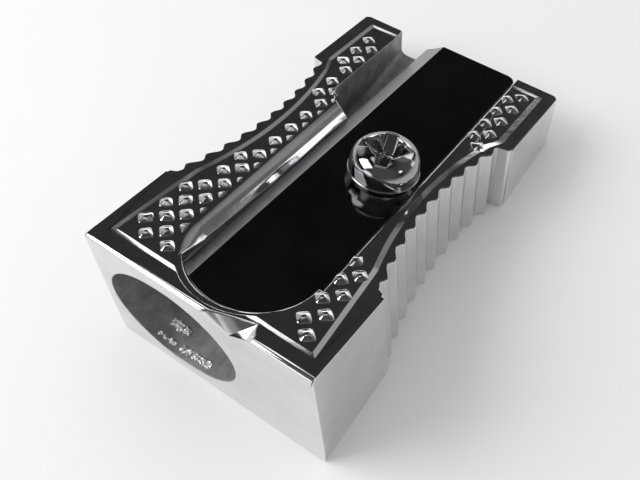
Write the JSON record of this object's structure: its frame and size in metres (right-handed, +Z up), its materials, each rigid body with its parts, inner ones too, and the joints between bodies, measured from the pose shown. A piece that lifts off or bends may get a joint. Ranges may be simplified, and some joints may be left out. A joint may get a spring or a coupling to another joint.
{
  "type": "pencil sharpener",
  "caption": "Hand-held wedge pencil sharpener: waisted cast metal body with ribbed sides and studded top, a flat steel blade and its domed cross-recess screw.",
  "frame": {"origin": "centre of the bounding box on the base plane", "axes": "+Z up from the base, +Y from the pencil mouth to the thin end, +X towards the blade's side"},
  "size_m": [0.014, 0.0256, 0.0099],
  "materials": {
    "body": "polished cast light alloy",
    "blade": "mirror-polished hardened steel",
    "screw": "bright plated steel"
  },
  "bodies": {
    "body": {"body": "body"},
    "blade": {"blade": "blade"},
    "screw": {"screw": "screw"}
  },
  "joints": [
    {"name": "blade_lift", "type": "slide", "parent": "body", "child": "blade", "axis": [0, 0.2389, 0.971], "range_m": [0, 0.006]},
    {"name": "screw_turn", "type": "hinge", "parent": "blade", "child": "screw", "pos_m": [0.00203, 0.00023, 0.00682], "axis": [0, 0.2389, 0.971], "continuous": true}
  ]
}
